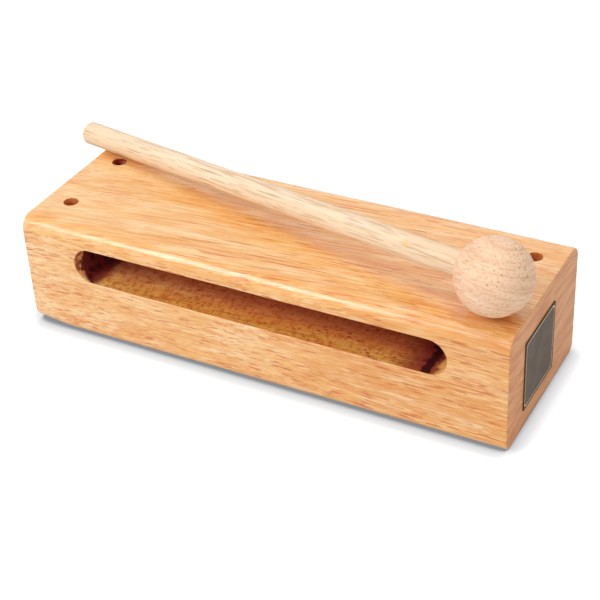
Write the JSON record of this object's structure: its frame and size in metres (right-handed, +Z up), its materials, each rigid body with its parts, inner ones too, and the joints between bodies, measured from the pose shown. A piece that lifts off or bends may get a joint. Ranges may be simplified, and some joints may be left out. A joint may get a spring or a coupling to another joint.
{
  "type": "woodblock",
  "caption": "Solid hardwood woodblock with a long sound slot routed in its front, mounting holes through its ends, an end badge, and a ball-headed wooden mallet lying on top.",
  "frame": {"origin": "centre of the block's flat base", "axes": "+Z up, +X along the block towards the end with the badge, the sound slot opens towards -Y"},
  "size_m": [0.2159, 0.0694, 0.0773],
  "materials": {
    "varnished_block": "clear satin varnish over honey-coloured hardwood",
    "badge_plate": "satin charcoal with a fine gold border line",
    "bare_dowel": "bare sanded pale wood",
    "bare_ball": "bare turned pale wood"
  },
  "bodies": {
    "block": {"sound_block": "varnished_block", "end_badge": "badge_plate"},
    "mallet": {"mallet_handle": "bare_dowel", "mallet_head": "bare_ball"}
  },
  "joints": [
    {"name": "mallet_lift", "type": "slide", "parent": "block", "child": "mallet", "axis": [0, 0, 1], "range_m": [0, 0.12]}
  ]
}
